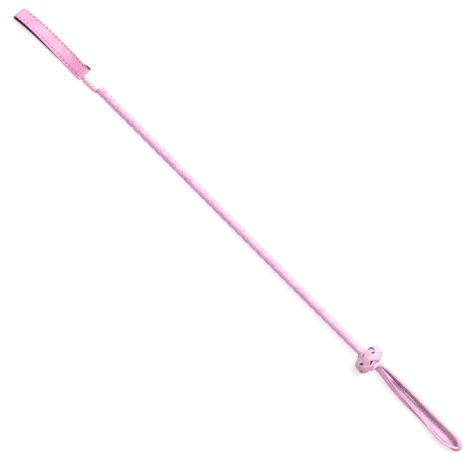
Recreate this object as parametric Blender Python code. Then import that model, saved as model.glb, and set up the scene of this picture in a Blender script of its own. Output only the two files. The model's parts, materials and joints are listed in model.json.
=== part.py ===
"""Riding crop lying on a flat surface: a plaited leather shaft on a fibreglass core, a folded and
stitched leather tongue on a whipped thong, a Turk's head knot, and a leather wrist loop.

Metres, +Z up, +X from the tongue towards the wrist loop, origin under the middle of the crop.
"""
import math

import bmesh
import bpy
from mathutils import Matrix, Vector

MM = 0.001

# Shaft: it rests on its tip and on the knot, so it climbs a little towards the butt.
MOUTH_X = -215.9 * MM
MOUTH_Z = 4.75 * MM
SHAFT_TILT = math.radians(1.684)
TIP_RADIUS = 4.6 * MM
BUTT_RADIUS = 5.05 * MM
PLAIT_LENGTH = 408.5 * MM

# Four-strand round plait: two strands wind each way, over one and under one.
PLAIT_PITCH = 22.2 * MM
PLAIT_STEPS_PER_TURN = 12
STRAND_WIDTH = 4.7 * MM
STRAND_THICKNESS = 0.5 * MM
STRAND_WEAVE = 0.92 * MM

CORE_ROD_RADIUS = 1.4 * MM
CORE_WRAP_RADIUS = 2.0 * MM
CORE_START = 10.0 * MM
CORE_END = 411.5 * MM

# Butt: binding, knot and collar, measured along the shaft from its mouth.
BINDING_RADIUS = 7.2 * MM
BINDING_SPAN = (402.0 * MM, 411.0 * MM)
KNOT_CENTRE = 413.1 * MM
KNOT_INNER_RADIUS = 7.5 * MM
KNOT_HALF_LENGTH = 7.7 * MM
KNOT_RISE = 8.0 * MM
KNOT_LEADS = 3
KNOT_BIGHTS = 5
KNOT_STEPS_PER_BIGHT = 18
KNOT_STRIP_WIDTH = 5.6 * MM
KNOT_STRIP_THICKNESS = 1.1 * MM
KNOT_WEAVE = 0.95 * MM
KNOT_SWING = math.radians(60)
KNOT_PHASE = math.radians(18)
KNOT_FORMER_BORE = 7.9 * MM
COLLAR_RADIUS = 7.5 * MM
COLLAR_BORE_RADIUS = 6.3 * MM
COLLAR_SPAN = (411.9 * MM, 424.2 * MM)
TAIL_SPAN = (412.4 * MM, 424.0 * MM)
TAIL_SIZE = (2.3 * MM, 10.0 * MM)

# Thong and whipping: the route runs from the hollow mouth of the plait down to the surface.
THONG_RADIUS = 1.8 * MM
WHIPPING_RADIUS = 3.1 * MM
WHIPPING_BORE_RADIUS = 2.1 * MM
THONG_ROUTE = [
    Vector((-206.6, 0.0, 5.02)) * MM,
    Vector((-212.0, 0.0, 4.86)) * MM,
    Vector((-215.5, -0.25, 4.70)) * MM,
    Vector((-218.2, -2.3, 4.10)) * MM,
    Vector((-220.6, -3.7, 3.50)) * MM,
    Vector((-225.0, -4.0, 3.20)) * MM,
    Vector((-230.0, -4.0, 3.14)) * MM,
    Vector((-235.6, -4.0, 3.14)) * MM,
]
WHIPPING_START = 3

# Tongue: one strip folded at the far end, flat near the shaft and rolled up on one side far from it.
TONGUE_HINGE = Vector((-236.4, 0.0, 2.4)) * MM
TONGUE_NEAR_X = -239.4 * MM
TONGUE_FAR_X = -336.0 * MM
TONGUE_WIDTH = 16.2 * MM
TONGUE_ROLL_START_X = -268.0 * MM
TONGUE_ROLL = math.radians(25.0)
TONGUE_EDGE_NEAR_Y = 7.6 * MM
TONGUE_EDGE_SHIFT = -2.9 * MM
FACE_PLY = 0.9 * MM
LINING_PLY = 0.5 * MM
PLY_GAP = 0.25 * MM
LEAF_GAP_NEAR = 1.6 * MM
LEAF_GAP_FAR = 2.4 * MM
LEAF_STEPS = 22
FOLD_STEPS = 8
TONGUE_TAIL_SIZE = (15.0 * MM, 5.6 * MM, 1.0 * MM)
TONGUE_TAIL_SHOWN = 0.6 * MM
THREAD_SIZE = 0.35 * MM
THREAD_CLEARANCE = 0.3 * MM
TONGUE_THREAD_INSET = 1.9 * MM
CROSS_THREAD_X = (-242.6 * MM, -245.6 * MM)
THREAD_ROW_GAP = 1.2 * MM
THREAD_ROW_LENGTH = 84.0 * MM

# Wrist strap: two plies, swept along a teardrop, leaning and twisting as it goes round.
LOOP_HINGE = Vector((212.0, 0.6, 16.9)) * MM
STRAP_WIDTH = 13.0 * MM
STRAP_FACE_PLY = 1.3 * MM
STRAP_LINING_PLY = 1.1 * MM
STRAP_PLY_GAP = 0.4 * MM
STRAP_THREAD_INSET = 1.5 * MM
STRAP_STEPS_PER_SPAN = 3
# Each station: X and Y of the strap's middle, height of its lower edge, outward lean in degrees.
STRAP_STATIONS = [
    (214.6, -1.1, 10.4, -36.0),
    (221.0, -1.5, 10.0, -36.0),
    (231.0, -2.4, 9.1, -34.0),
    (242.0, -3.3, 8.1, -28.0),
    (254.0, -4.0, 7.0, -16.0),
    (267.0, -4.2, 5.9, 0.0),
    (281.0, -4.0, 4.7, 16.0),
    (295.0, -3.9, 3.4, 27.0),
    (308.0, -4.1, 2.2, 32.0),
    (318.0, -4.2, 1.4, 30.0),
    (325.6, -3.6, 0.7, 20.0),
    (330.6, -1.4, 0.3, 0.0),
    (332.6, 1.4, 0.1, -16.0),
    (331.2, 4.4, 0.2, -20.0),
    (326.6, 6.9, 0.5, -15.0),
    (319.0, 7.8, 1.3, -9.0),
    (308.0, 7.9, 2.2, -7.0),
    (295.0, 8.0, 3.4, -6.0),
    (281.0, 8.2, 4.7, -6.0),
    (267.0, 8.5, 5.9, -6.0),
    (254.0, 8.7, 7.0, -6.0),
    (242.0, 8.7, 8.1, -6.0),
    (231.0, 8.5, 9.1, -6.0),
    (221.0, 8.1, 10.0, -5.0),
    (214.6, 7.6, 10.4, -4.0),
]

PINK = (0.90, 0.42, 0.64)
PALE_PINK = (0.93, 0.58, 0.74)
MAROON = (0.10, 0.02, 0.05)
THREAD_PINK = (0.86, 0.40, 0.60)
WHIPPING_PINK = (0.90, 0.60, 0.62)
FIBREGLASS = (0.75, 0.74, 0.62)
PAPER_TAPE = (0.60, 0.50, 0.36)


def clear_scene():
    for item in list(bpy.data.objects):
        bpy.data.objects.remove(item, do_unlink=True)


def make_material(name, colour, roughness):
    material = bpy.data.materials.new(name)
    material.use_nodes = True
    shader = material.node_tree.nodes["Principled BSDF"]
    shader.inputs["Base Color"].default_value = (*colour, 1.0)
    shader.inputs["Roughness"].default_value = roughness
    shader.inputs["Metallic"].default_value = 0.0
    return material


def make_empty(name, location, rotation=(0.0, 0.0, 0.0)):
    empty = bpy.data.objects.new(name, None)
    empty.location = location
    empty.rotation_euler = rotation
    bpy.context.scene.collection.objects.link(empty)
    return empty


def make_object(name, shell, colour, roughness, parent=None, smooth_degrees=None):
    """Turn a bmesh into a named object with a material of its own."""
    bmesh.ops.recalc_face_normals(shell, faces=shell.faces)
    mesh = bpy.data.meshes.new(name)
    shell.to_mesh(mesh)
    shell.free()
    mesh.materials.append(make_material(name + "_material", colour, roughness))
    if smooth_degrees is not None:
        mesh.shade_smooth()
        mesh.set_sharp_from_angle(angle=math.radians(smooth_degrees))
    piece = bpy.data.objects.new(name, mesh)
    bpy.context.scene.collection.objects.link(piece)
    if parent is not None:
        piece.parent = parent
    return piece


def loft(rings, closed=False, lean=0):
    """Join rings of points into one closed shell: end to end, or with flat caps.

    A thin twisted strip keeps its thickness only if both its faces are cut along the same diagonal;
    lean 1 or -1 says which one, and 0 leaves the quads whole.
    """
    shell = bmesh.new()
    rows = [[shell.verts.new(point) for point in ring] for ring in rings]
    count = len(rows)
    for index in range(count if closed else count - 1):
        this_row = rows[index]
        next_row = rows[(index + 1) % count]
        for corner in range(len(this_row)):
            after = (corner + 1) % len(this_row)
            quad = (this_row[corner], this_row[after], next_row[after], next_row[corner])
            if lean == 0:
                shell.faces.new(quad)
            elif (corner < len(this_row) // 2) == (lean > 0):
                shell.faces.new((quad[0], quad[1], quad[2]))
                shell.faces.new((quad[0], quad[2], quad[3]))
            else:
                shell.faces.new((quad[0], quad[1], quad[3]))
                shell.faces.new((quad[1], quad[2], quad[3]))
    if not closed:
        shell.faces.new(rows[0])
        shell.faces.new(rows[-1])
    return shell


def strip_ring(centre, across, normal, width, thickness, middles=False):
    """Corners of a flat strip's cross section, with a point in the middle of each face if wanted."""
    side = across * (width / 2)
    rise = normal * (thickness / 2)
    ring = [centre - side - rise, centre + side - rise, centre + side + rise, centre - side + rise]
    if middles:
        ring = [ring[0], centre - rise, ring[1], ring[2], centre + rise, ring[3]]
    return ring


def circle_ring(centre, first, second, radius, count):
    """Points of a circle spanned by two unit vectors."""
    points = []
    for index in range(count):
        angle = 2 * math.pi * index / count
        points.append(centre + first * (radius * math.cos(angle)) + second * (radius * math.sin(angle)))
    return points


def turned(outline, count):
    """Turn a closed outline of (distance along X, radius) about the X axis."""
    rings = []
    for index in range(count):
        angle = 2 * math.pi * index / count
        rings.append([Vector((x, r * math.sin(angle), r * math.cos(angle))) for x, r in outline])
    return loft(rings, closed=True)


def tangents(points, closed=False):
    """Unit directions along a row of points."""
    count = len(points)
    result = []
    for index in range(count):
        if closed:
            step = points[(index + 1) % count] - points[index - 1]
        else:
            step = points[min(index + 1, count - 1)] - points[max(index - 1, 0)]
        result.append(step.normalized())
    return result


# ---------------------------------------------------------------- shaft

def plait_radius(along):
    """Outer radius of the plait, which grows evenly from tip to butt."""
    return TIP_RADIUS + (BUTT_RADIUS - TIP_RADIUS) * along / PLAIT_LENGTH


def make_plait_strand(name, hand, start_angle, parent):
    """One strand: it winds round the core and weaves in and out once every half turn."""
    count = round(PLAIT_LENGTH / PLAIT_PITCH * PLAIT_STEPS_PER_TURN)
    points = []
    normals = []
    for index in range(count + 1):
        along = PLAIT_LENGTH * index / count
        winding = 2 * math.pi * along / PLAIT_PITCH
        angle = hand * winding + start_angle
        middle = plait_radius(along) - STRAND_WEAVE - STRAND_THICKNESS / 2
        radius = middle + hand * STRAND_WEAVE * math.cos(2 * winding)
        normal = Vector((0.0, math.sin(angle), math.cos(angle)))
        points.append(Vector((along, 0.0, 0.0)) + normal * radius)
        normals.append(normal)
    rings = []
    for point, normal, forward in zip(points, normals, tangents(points)):
        across = normal.cross(forward).normalized()
        rings.append(strip_ring(point, across, normal, STRAND_WIDTH, STRAND_THICKNESS))
    make_object(name, loft(rings, lean=-hand), PINK, 0.45, parent, smooth_degrees=40)


def make_core(parent):
    rod = bmesh.new()
    bmesh.ops.create_cone(rod, cap_ends=True, segments=14, radius1=CORE_ROD_RADIUS,
                          radius2=CORE_ROD_RADIUS, depth=CORE_END - CORE_START,
                          matrix=Matrix.Translation(((CORE_START + CORE_END) / 2, 0.0, 0.0))
                          @ Matrix.Rotation(math.radians(90), 4, "Y"))
    make_object("core_rod", rod, FIBREGLASS, 0.4, parent, smooth_degrees=40)
    outer = CORE_WRAP_RADIUS
    inner = CORE_ROD_RADIUS + PLY_GAP
    end = PLAIT_LENGTH - 2 * MM
    outline = [(CORE_START, inner), (end, inner), (end, outer), (CORE_START, outer)]
    make_object("core_wrap", turned(outline, 14), PAPER_TAPE, 0.8, parent, smooth_degrees=40)


def make_butt_binding(parent):
    start, end = BINDING_SPAN
    inner = BUTT_RADIUS + 0.5 * MM
    outline = [(start, inner), (end, inner), (end, BINDING_RADIUS), (start + 2.4 * MM, BINDING_RADIUS),
               (start, inner + 0.9 * MM)]
    make_object("butt_binding", turned(outline, 24), PAPER_TAPE, 0.8, parent, smooth_degrees=40)


def knot_point(turn, swing, lift):
    """A point on the knot: turn about the shaft, swing from -90 to 90 across it, lift off the former."""
    along = KNOT_CENTRE + (KNOT_HALF_LENGTH + lift) * math.sin(swing)
    radius = KNOT_INNER_RADIUS + (KNOT_RISE + lift) * math.cos(swing)
    return Vector((along, radius * math.sin(turn), radius * math.cos(turn)))


def make_knot_former(parent):
    """Half-round ring that the knot is woven over, open in the middle for binding and collar."""
    lift = -KNOT_WEAVE - KNOT_STRIP_THICKNESS / 2 - 0.5 * MM
    outline = []
    for index in range(11):
        swing = math.radians(-75 + 15 * index)
        point = knot_point(0.0, swing, lift)
        outline.append((point.x, max(point.z, KNOT_FORMER_BORE + 0.2 * MM)))
    outline.append((outline[-1][0], KNOT_FORMER_BORE))
    outline.append((outline[0][0], KNOT_FORMER_BORE))
    make_object("knot_former", turned(outline, 28), PAPER_TAPE, 0.8, parent, smooth_degrees=40)


def make_knot_strand(parent):
    """Turk's head: one endless strip, three leads and five bights, over and under in turn."""
    count = KNOT_BIGHTS * KNOT_STEPS_PER_BIGHT
    points = []
    normals = []
    for index in range(count):
        turn = 2 * math.pi * KNOT_LEADS * index / count + KNOT_PHASE
        wave = 2 * math.pi * KNOT_BIGHTS * index / count
        swing = KNOT_SWING * math.sin(wave)
        lift = KNOT_WEAVE * math.sin(2 * wave)
        points.append(knot_point(turn, swing, lift))
        normals.append((knot_point(turn, swing, MM) - knot_point(turn, swing, 0.0)).normalized())
    rings = []
    for point, normal, forward in zip(points, normals, tangents(points, closed=True)):
        across = normal.cross(forward).normalized()
        upright = forward.cross(across).normalized()
        rings.append(strip_ring(point, across, upright, KNOT_STRIP_WIDTH, KNOT_STRIP_THICKNESS))
    make_object("turks_head_strand", loft(rings, closed=True), PINK, 0.45, parent, smooth_degrees=40)


def make_collar(parent):
    """Leather ring with softly rounded outer corners and a flat end face."""
    start, end = COLLAR_SPAN
    soft = 0.4 * MM
    outline = [(start, COLLAR_BORE_RADIUS), (end, COLLAR_BORE_RADIUS), (end, COLLAR_RADIUS - soft),
               (end - soft, COLLAR_RADIUS), (start + soft, COLLAR_RADIUS), (start, COLLAR_RADIUS - soft)]
    make_object("butt_collar", turned(outline, 32), PALE_PINK, 0.45, parent, smooth_degrees=30)


def make_strap_tails(parent):
    """The two ends of the wrist strap, side by side inside the collar."""
    start, end = TAIL_SPAN
    thickness, width = TAIL_SIZE
    for name, side in (("strap_tail_left", 1), ("strap_tail_right", -1)):
        block = bmesh.new()
        bmesh.ops.create_cube(block, size=1.0)
        bmesh.ops.scale(block, vec=(end - start, thickness, width), verts=block.verts)
        offset = side * (thickness / 2 + 0.2 * MM)
        bmesh.ops.translate(block, vec=((start + end) / 2, offset, 0.0), verts=block.verts)
        tail = make_object(name, block, PINK, 0.5, parent)
        bevel = tail.modifiers.new("soft_edges", "BEVEL")
        bevel.width = 0.4 * MM
        bevel.segments = 1


# ---------------------------------------------------------------- thong and whipping

def smooth_route(points, per_span):
    """Points read from a Catmull-Rom curve through the route."""
    padded = [2 * points[0] - points[1]] + points + [2 * points[-1] - points[-2]]
    result = []
    for index in range(1, len(padded) - 2):
        before, start, end, after = padded[index - 1:index + 3]
        for step in range(per_span):
            t = step / per_span
            result.append(0.5 * (2 * start + (end - before) * t
                                 + (2 * before - 5 * start + 4 * end - after) * t ** 2
                                 + (3 * start - before - 3 * end + after) * t ** 3))
    result.append(points[-1].copy())
    return result


def make_thong():
    route = smooth_route(THONG_ROUTE, 2)
    curve = bpy.data.curves.new("tip_thong", "CURVE")
    curve.dimensions = "3D"
    curve.bevel_depth = THONG_RADIUS
    curve.bevel_resolution = 2
    curve.use_fill_caps = True
    spline = curve.splines.new("POLY")
    spline.points.add(len(route) - 1)
    for knot, point in zip(spline.points, route):
        knot.co = (*point, 1.0)
    curve.materials.append(make_material("tip_thong_material", PINK, 0.5))
    thong = bpy.data.objects.new("tip_thong", curve)
    bpy.context.scene.collection.objects.link(thong)


def make_whipping():
    """Thread wound round the thong: a tube with an open bore."""
    route = smooth_route(THONG_ROUTE[WHIPPING_START:], 2)
    outer = []
    inner = []
    for point, forward in zip(route, tangents(route)):
        side = Vector((0.0, 0.0, 1.0)).cross(forward).normalized()
        up = forward.cross(side)
        outer.append(circle_ring(point, side, up, WHIPPING_RADIUS, 14))
        inner.append(circle_ring(point, side, up, WHIPPING_BORE_RADIUS, 14))
    shell = loft(outer + inner[::-1], closed=True)
    make_object("tip_whipping", shell, WHIPPING_PINK, 0.7, None, smooth_degrees=40)


# ---------------------------------------------------------------- tongue

def far_share(x):
    """0 where the tongue is flat, 1 at its far end."""
    return min(max((TONGUE_ROLL_START_X - x) / (TONGUE_ROLL_START_X - TONGUE_FAR_X), 0.0), 1.0)


def leaf_half_gap(x):
    return (LEAF_GAP_NEAR + (LEAF_GAP_FAR - LEAF_GAP_NEAR) * far_share(x)) / 2


def tongue_profile(offset, near_x=TONGUE_NEAR_X):
    """The folded strip seen from the side, offset outwards from the middle of the fold's gap."""
    stack = FACE_PLY + PLY_GAP + LINING_PLY
    far_half_gap = LEAF_GAP_FAR / 2
    fold_x = TONGUE_FAR_X + stack + far_half_gap
    points = []
    for index in range(LEAF_STEPS):
        x = near_x + (fold_x - near_x) * index / LEAF_STEPS
        points.append((x, stack + leaf_half_gap(x), leaf_half_gap(x) + offset))
    fold = []
    radius = far_half_gap + offset
    for index in range(FOLD_STEPS + 1):
        angle = math.pi / 2 - math.pi * index / FOLD_STEPS
        fold.append((fold_x - radius * math.cos(angle), stack + far_half_gap, radius * math.sin(angle)))
    back = [(x, middle, -rise) for x, middle, rise in reversed(points)]
    return points + fold + back


def roll_point(x, y, z):
    """Place a point of the flat tongue: y runs from its low side edge, rolled up towards the far end."""
    share = far_share(x)
    roll = TONGUE_ROLL * math.sin(math.pi / 2 * share)
    edge = TONGUE_EDGE_NEAR_Y + TONGUE_EDGE_SHIFT * share ** 2

    return Vector((x, edge + y * math.cos(roll) + z * math.sin(roll),
                   -y * math.sin(roll) + z * math.cos(roll)))


def tongue_ply(name, outer_offset, inner_offset, colour, parent):
    """One ply of the folded strip, between two offsets from the middle of the gap."""
    outer = tongue_profile(outer_offset)
    inner = tongue_profile(inner_offset)
    rings = []
    for (outer_x, middle, outer_rise), (inner_x, _, inner_rise) in zip(outer, inner):
        ring = [roll_point(outer_x, -TONGUE_WIDTH * share, middle + outer_rise) for share in (0, 0.5, 1)]
        ring += [roll_point(inner_x, -TONGUE_WIDTH * share, middle + inner_rise) for share in (1, 0.5, 0)]
        rings.append([point - parent.location for point in ring])
    make_object(name, loft(rings), colour, 0.45, parent, smooth_degrees=40)


def make_thread(name, points, normals, parent):
    """A sewn row as one thin thread that lies just off the leather."""
    rings = []
    for point, normal, forward in zip(points, normals, tangents(points)):
        across = normal.cross(forward).normalized()
        ring = strip_ring(point, across, normal, THREAD_SIZE, THREAD_SIZE)
        rings.append([corner - parent.location for corner in ring])
    make_object(name, loft(rings), THREAD_PINK, 0.7, parent)


def leaf_top(x, y):
    """A point just above the upper leaf, and the leaf's normal there."""
    stack = FACE_PLY + PLY_GAP + LINING_PLY
    height = 2 * (stack + leaf_half_gap(x)) + THREAD_CLEARANCE + THREAD_SIZE / 2
    point = roll_point(x, y, height)
    return point, (roll_point(x, y, height + MM) - point).normalized()


def make_tongue(parent):
    lining_outer = LINING_PLY
    face_inner = LINING_PLY + PLY_GAP
    tongue_ply("tongue_lining", lining_outer, 0.0, MAROON, parent)
    tongue_ply("tongue_face", face_inner + FACE_PLY, face_inner, PINK, parent)

    for name, y in (("tongue_thread_left", -TONGUE_THREAD_INSET),
                    ("tongue_thread_right", TONGUE_THREAD_INSET - TONGUE_WIDTH)):
        rows = [leaf_top(CROSS_THREAD_X[1] - THREAD_ROW_GAP - THREAD_ROW_LENGTH * step / LEAF_STEPS, y)
                for step in range(LEAF_STEPS + 1)]
        make_thread(name, [row[0] for row in rows], [row[1] for row in rows], parent)

    first_x, second_x = CROSS_THREAD_X
    near_y = -TONGUE_THREAD_INSET
    far_y = TONGUE_THREAD_INSET - TONGUE_WIDTH
    corners = [(first_x, near_y), (first_x, far_y), (second_x, far_y), (second_x, near_y)]
    path = []
    for (x0, y0), (x1, y1) in zip(corners, corners[1:]):
        path += [leaf_top(x0 + (x1 - x0) * step / 3, y0 + (y1 - y0) * step / 3) for step in range(3)]
    path.append(leaf_top(*corners[-1]))
    make_thread("tongue_cross_thread", [row[0] for row in path], [row[1] for row in path], parent)

    tail = bmesh.new()
    bmesh.ops.create_cube(tail, size=1.0)
    bmesh.ops.scale(tail, vec=TONGUE_TAIL_SIZE, verts=tail.verts)
    middle = FACE_PLY + PLY_GAP + LINING_PLY + LEAF_GAP_NEAR / 2
    centre = Vector((TONGUE_NEAR_X + TONGUE_TAIL_SHOWN - TONGUE_TAIL_SIZE[0] / 2, THONG_ROUTE[-1].y, middle))
    bmesh.ops.translate(tail, vec=centre - parent.location, verts=tail.verts)
    make_object("tongue_tail", tail, PINK, 0.5, parent)


# ---------------------------------------------------------------- wrist loop

def strap_stations():
    """Middle, tangent, outward normal and width direction all the way round the loop."""
    knots = [Vector((x, y, 0.0)) * MM for x, y, _, _ in STRAP_STATIONS]
    extras = [Vector((low * MM, math.radians(lean), 0.0)) for _, _, low, lean in STRAP_STATIONS]
    plan = smooth_route(knots, STRAP_STEPS_PER_SPAN)
    detail = smooth_route(extras, STRAP_STEPS_PER_SPAN)
    stations = []
    half_thickness = (STRAP_FACE_PLY + STRAP_PLY_GAP + STRAP_LINING_PLY) / 2
    for point, forward, extra in zip(plan, tangents(plan), detail):
        low, lean = extra.x, extra.y
        outward = forward.cross(Vector((0.0, 0.0, 1.0))).normalized()
        width_way = Vector((0.0, 0.0, 1.0)) * math.cos(lean) + outward * math.sin(lean)
        normal = outward * math.cos(lean) - Vector((0.0, 0.0, 1.0)) * math.sin(lean)
        rise = STRAP_WIDTH / 2 * math.cos(lean) + half_thickness * abs(math.sin(lean))
        centre = Vector((point.x, point.y, low + rise))
        stations.append((centre, normal, width_way))
    return stations


def strap_ply(name, stations, from_middle, thickness, colour, parent):
    rings = []
    for centre, normal, width_way in stations:
        middle = centre + normal * from_middle - parent.location
        rings.append(strip_ring(middle, width_way, normal, STRAP_WIDTH, thickness, middles=True))
    make_object(name, loft(rings), colour, 0.45, parent, smooth_degrees=50)


def make_wrist_loop(parent):
    stations = strap_stations()
    total = STRAP_FACE_PLY + STRAP_PLY_GAP + STRAP_LINING_PLY
    strap_ply("wrist_strap_face", stations, (total - STRAP_FACE_PLY) / 2, STRAP_FACE_PLY, PINK, parent)
    strap_ply("wrist_strap_lining", stations, (STRAP_LINING_PLY - total) / 2, STRAP_LINING_PLY,
              PALE_PINK, parent)
    lift = total / 2 + THREAD_CLEARANCE + THREAD_SIZE / 2
    for name, side in (("wrist_thread_upper", 1), ("wrist_thread_lower", -1)):
        reach = side * (STRAP_WIDTH / 2 - STRAP_THREAD_INSET)
        points = [centre + normal * lift + width_way * reach for centre, normal, width_way in stations]
        make_thread(name, points, [station[1] for station in stations], parent)


def main():
    clear_scene()
    shaft = make_empty("shaft_axis", (MOUTH_X, 0.0, MOUTH_Z), (0.0, -SHAFT_TILT, 0.0))
    make_core(shaft)
    make_plait_strand("plait_strand_1", 1, 0.0, shaft)
    make_plait_strand("plait_strand_2", 1, math.pi, shaft)
    make_plait_strand("plait_strand_3", -1, 0.0, shaft)
    make_plait_strand("plait_strand_4", -1, math.pi, shaft)
    make_butt_binding(shaft)
    make_knot_former(shaft)
    make_knot_strand(shaft)
    make_collar(shaft)
    make_strap_tails(shaft)
    make_thong()
    make_whipping()
    make_tongue(make_empty("tongue_hinge", TONGUE_HINGE))
    make_wrist_loop(make_empty("loop_hinge", LOOP_HINGE))


main()
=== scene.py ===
import json
import math

import bmesh
import bpy
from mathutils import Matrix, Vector


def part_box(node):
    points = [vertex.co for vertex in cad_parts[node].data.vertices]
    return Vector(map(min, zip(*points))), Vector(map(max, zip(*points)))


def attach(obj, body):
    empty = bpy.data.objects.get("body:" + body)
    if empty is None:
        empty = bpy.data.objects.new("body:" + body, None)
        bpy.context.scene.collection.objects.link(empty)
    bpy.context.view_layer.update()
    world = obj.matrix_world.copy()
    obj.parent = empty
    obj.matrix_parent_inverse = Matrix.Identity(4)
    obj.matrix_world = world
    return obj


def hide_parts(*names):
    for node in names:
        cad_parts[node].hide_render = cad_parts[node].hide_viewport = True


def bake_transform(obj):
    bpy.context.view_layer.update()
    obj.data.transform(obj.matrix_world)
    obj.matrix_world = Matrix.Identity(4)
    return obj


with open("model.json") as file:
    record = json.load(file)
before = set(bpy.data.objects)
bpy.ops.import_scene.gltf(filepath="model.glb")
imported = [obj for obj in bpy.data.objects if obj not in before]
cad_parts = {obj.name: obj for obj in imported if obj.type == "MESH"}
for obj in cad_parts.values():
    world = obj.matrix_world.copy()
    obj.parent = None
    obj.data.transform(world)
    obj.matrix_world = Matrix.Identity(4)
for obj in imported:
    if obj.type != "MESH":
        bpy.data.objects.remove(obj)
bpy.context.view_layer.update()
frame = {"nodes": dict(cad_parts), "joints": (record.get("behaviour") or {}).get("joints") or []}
MM = 0.001

# ---------------------------------------------------------------- places, read from the CAD frame

pins = {joint["name"]: Vector(joint["pos_m"]) for joint in frame["joints"]}
tongue_pin = pins["tongue_flex"]
loop_pin = pins["loop_swing"]
rod_low, rod_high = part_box("core_rod")
face_low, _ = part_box("tongue_face")
whip_low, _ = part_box("tip_whipping")

ROD_RADIUS = 1.4 * MM
ROD_INSET = 10.0 * MM
rod_rise = rod_high.z - rod_low.z - 2 * ROD_RADIUS
shaft_tilt = math.atan2(rod_rise, rod_high.x - rod_low.x)
shaft_along = Vector((math.cos(shaft_tilt), 0.0, math.sin(shaft_tilt)))
shaft_up = Vector((-math.sin(shaft_tilt), 0.0, math.cos(shaft_tilt)))
SIDEWAYS = Vector((0.0, 1.0, 0.0))
UPWARDS = Vector((0.0, 0.0, 1.0))
shaft_mouth = Vector((rod_low.x, 0.0, rod_low.z + ROD_RADIUS)) - shaft_along * ROD_INSET


def shaft_point(along, turn, radius):
    """A point about the shaft: turn is 0 on top and grows towards +Y."""
    around = SIDEWAYS * math.sin(turn) + shaft_up * math.cos(turn)
    return shaft_mouth + shaft_along * along + around * radius


# ---------------------------------------------------------------- materials

PAINT_SHARE = 0.78


def colour_of(red, green, blue):
    """Linear colour from the everyday 0-255 scale, dimmed to suit a studio lit a little above full white."""
    def linear(value):
        value /= 255
        return value / 12.92 if value <= 0.04045 else ((value + 0.055) / 1.055) ** 2.4
    return (PAINT_SHARE * linear(red), PAINT_SHARE * linear(green), PAINT_SHARE * linear(blue), 1.0)


def new_material(name):
    material = bpy.data.materials.new(name)
    material.use_nodes = True
    tree = material.node_tree
    return material, tree, tree.nodes["Principled BSDF"]


def noise_node(tree, coordinates, scale, detail=3.0, roughness=0.55):
    node = tree.nodes.new("ShaderNodeTexNoise")
    node.inputs["Scale"].default_value = scale
    node.inputs["Detail"].default_value = detail
    node.inputs["Roughness"].default_value = roughness
    tree.links.new(coordinates, node.inputs["Vector"])
    return node.outputs["Fac"]


def range_node(tree, value, low, high, new_low, new_high):
    node = tree.nodes.new("ShaderNodeMapRange")
    node.inputs["From Min"].default_value = low
    node.inputs["From Max"].default_value = high
    node.inputs["To Min"].default_value = new_low
    node.inputs["To Max"].default_value = new_high
    tree.links.new(value, node.inputs["Value"])
    return node.outputs["Result"]


def mix_node(tree, share, first, second):
    node = tree.nodes.new("ShaderNodeMix")
    node.data_type = "RGBA"
    factor, colour_a, colour_b = node.inputs[0], node.inputs[6], node.inputs[7]
    for value, socket in ((share, factor), (first, colour_a), (second, colour_b)):
        if isinstance(value, (float, tuple)):
            socket.default_value = value
        else:
            tree.links.new(value, socket)
    return node.outputs[2]


def bump_node(tree, height, distance, normal=None):
    node = tree.nodes.new("ShaderNodeBump")
    node.inputs["Strength"].default_value = 1.0
    node.inputs["Distance"].default_value = distance
    tree.links.new(height, node.inputs["Height"])
    if normal is not None:
        tree.links.new(normal, node.inputs["Normal"])
    return node.outputs["Normal"]


def leather(name, colour, deep, roughness=0.42, grain=1900.0, grain_depth=0.05, mottle=0.5, rim_highlight_and_tint=None,
            shine=0.5):
    """Grained leather: pebbled creases and slow mottling. A rim colour also turns on at the rims: a painted
    highlight on the strap, a darker rim on the tongue. The tone attribute darkens towards the deep colour as
    painted shade.
    """
    material, tree, shader = new_material(name)
    place = tree.nodes.new("ShaderNodeTexCoord").outputs["Object"]
    pebbles = tree.nodes.new("ShaderNodeTexVoronoi")
    pebbles.feature = "DISTANCE_TO_EDGE"
    pebbles.inputs["Scale"].default_value = grain
    tree.links.new(place, pebbles.inputs["Vector"])
    crease = range_node(tree, pebbles.outputs["Distance"], 0.0, 0.22, 0.0, 1.0)
    slow = noise_node(tree, place, 70.0, 4.0)
    fine = noise_node(tree, place, 900.0, 5.0, 0.65)
    patches = range_node(tree, slow, 0.35, 0.7, 0.0, mottle)
    body = mix_node(tree, patches, colour, deep)
    creased = mix_node(tree, range_node(tree, crease, 0.0, 1.0, 0.22, 0.0), body, deep)
    shaded = mix_node(tree, range_node(tree, fine, 0.3, 0.7, 0.0, 0.22), creased, deep)
    if rim_highlight_and_tint is not None:
        # painted shade: the tone attribute darkens the colour towards the deep colour
        tone = tree.nodes.new("ShaderNodeAttribute")
        tone.attribute_name = "tone"
        shaded = mix_node(tree, tone.outputs["Fac"], shaded, deep)
        # rim colour at the edge attribute: painted highlight on the strap's rims, a darker rim on the tongue
        edge = tree.nodes.new("ShaderNodeAttribute")
        edge.attribute_name = "edge"
        shaded = mix_node(tree, edge.outputs["Fac"], shaded, rim_highlight_and_tint)
    tree.links.new(shaded, shader.inputs["Base Color"])
    gloss = range_node(tree, fine, 0.3, 0.7, roughness - 0.07, roughness + 0.1)
    tree.links.new(gloss, shader.inputs["Roughness"])
    shader.inputs["Specular IOR Level"].default_value = shine
    soft = bump_node(tree, fine, 0.05 * MM)
    tree.links.new(bump_node(tree, crease, grain_depth * MM, soft), shader.inputs["Normal"])
    return material


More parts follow.
